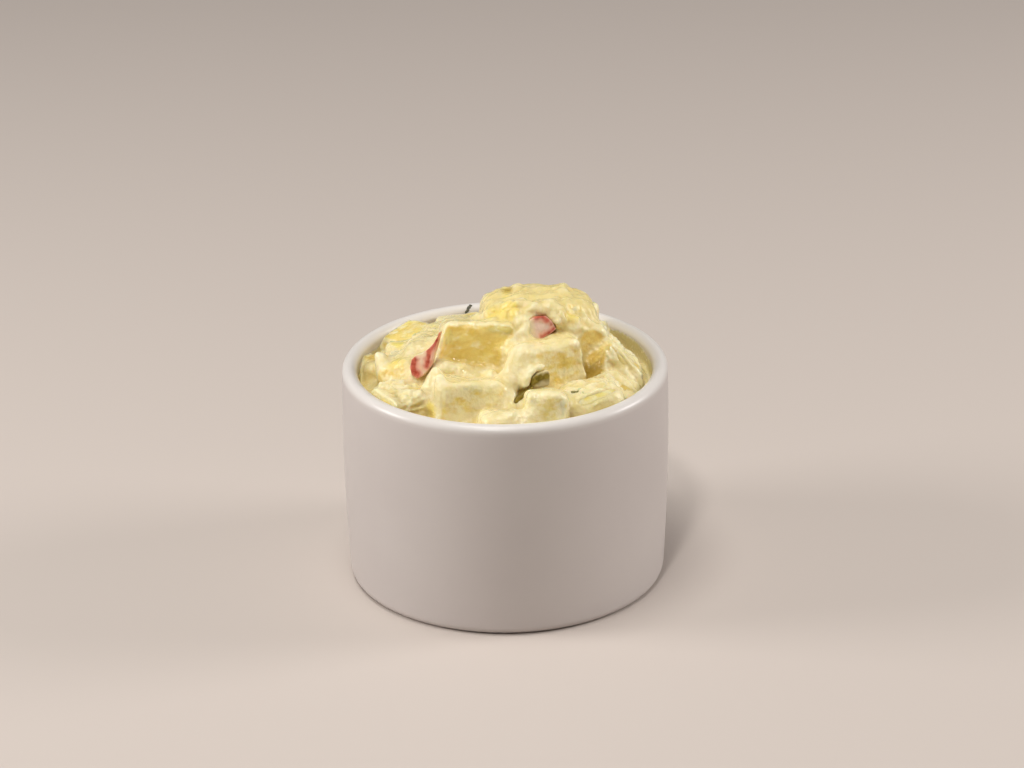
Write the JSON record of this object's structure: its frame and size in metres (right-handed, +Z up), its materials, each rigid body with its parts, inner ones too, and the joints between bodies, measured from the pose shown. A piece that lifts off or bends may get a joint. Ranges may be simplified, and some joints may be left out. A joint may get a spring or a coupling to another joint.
{
  "type": "potato salad",
  "caption": "Diced potato salad in creamy dressing with red pepper and gherkin, heaped in a white straight-sided ramekin.",
  "frame": {"origin": "centre of the ramekin's foot, on the surface it stands on", "axes": "+Z up, -Y to the front of the picture, +X to its right"},
  "size_m": [0.0906, 0.0906, 0.082],
  "materials": {
    "china": "white gloss glaze",
    "potato_salad": "moist potato in satin mayonnaise dressing",
    "red_pepper": "moist cut red pepper",
    "gherkin": "moist cut gherkin"
  },
  "bodies": {
    "root": {"bowl": "china", "salad": "potato_salad", "red_pepper_left": "red_pepper", "red_pepper_top": "red_pepper", "gherkin_upper": "gherkin", "gherkin_lower": "gherkin"}
  },
  "joints": []
}
